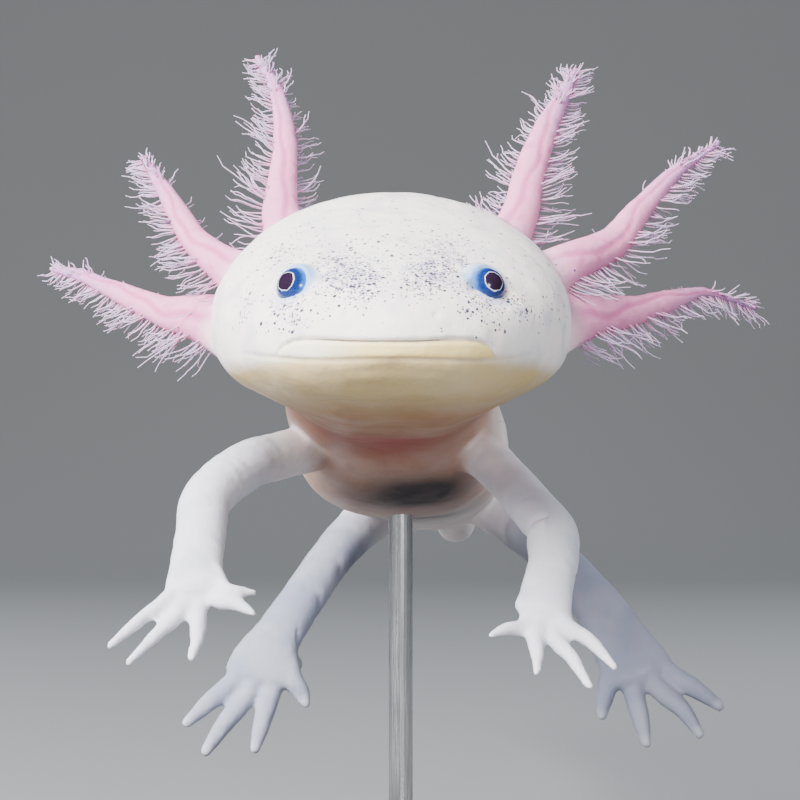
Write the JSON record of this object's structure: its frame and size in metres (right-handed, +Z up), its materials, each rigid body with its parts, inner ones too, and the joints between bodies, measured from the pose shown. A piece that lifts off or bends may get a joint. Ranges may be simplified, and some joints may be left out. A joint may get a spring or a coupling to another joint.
{
  "type": "axolotl model on a display stand",
  "caption": "Life-size pale axolotl with feathery external gills, posed swimming with its legs hanging, on a flat display base with one rod.",
  "frame": {"origin": "centre of the underside of the stand's base", "axes": "+Z up; the animal faces -Y and its tail points to +Y; +X is the animal's left side"},
  "size_m": [0.092, 0.212, 0.1124],
  "materials": {
    "skin": "smooth moist skin, pinkish white with tiny dark specks on the head",
    "gill": "soft moist pink flesh with pale lilac filaments",
    "eye": "wet and glossy, dark blue round a black pupil",
    "stand_base": "satin charcoal",
    "stand_rod": "fine brushed"
  },
  "bodies": {
    "root": {"head": "skin", "lower_jaw": "skin", "neck": "skin", "trunk": "skin", "tail_root": "skin", "tail_middle": "skin", "tail_tip": "skin", "fin_upper": "skin", "tail_fin_lower": "skin", "foreleg_left_upper": "skin", "foreleg_left_forearm": "skin", "foreleg_left_hand": "skin", "foreleg_right_upper": "skin", "foreleg_right_forearm": "skin", "foreleg_right_hand": "skin", "hindleg_left_thigh": "skin", "hindleg_left_shin": "skin", "hindleg_left_foot": "skin", "hindleg_right_thigh": "skin", "hindleg_right_shin": "skin", "hindleg_right_foot": "skin", "gill_left_lower": "gill", "gill_left_middle": "gill", "gill_left_upper": "gill", "gill_right_lower": "gill", "gill_right_middle": "gill", "gill_right_upper": "gill", "eye_left": "eye", "eye_right": "eye", "stand_base": "stand_base", "stand_rod": "stand_rod", "stand_collar": "stand_rod"}
  },
  "joints": []
}
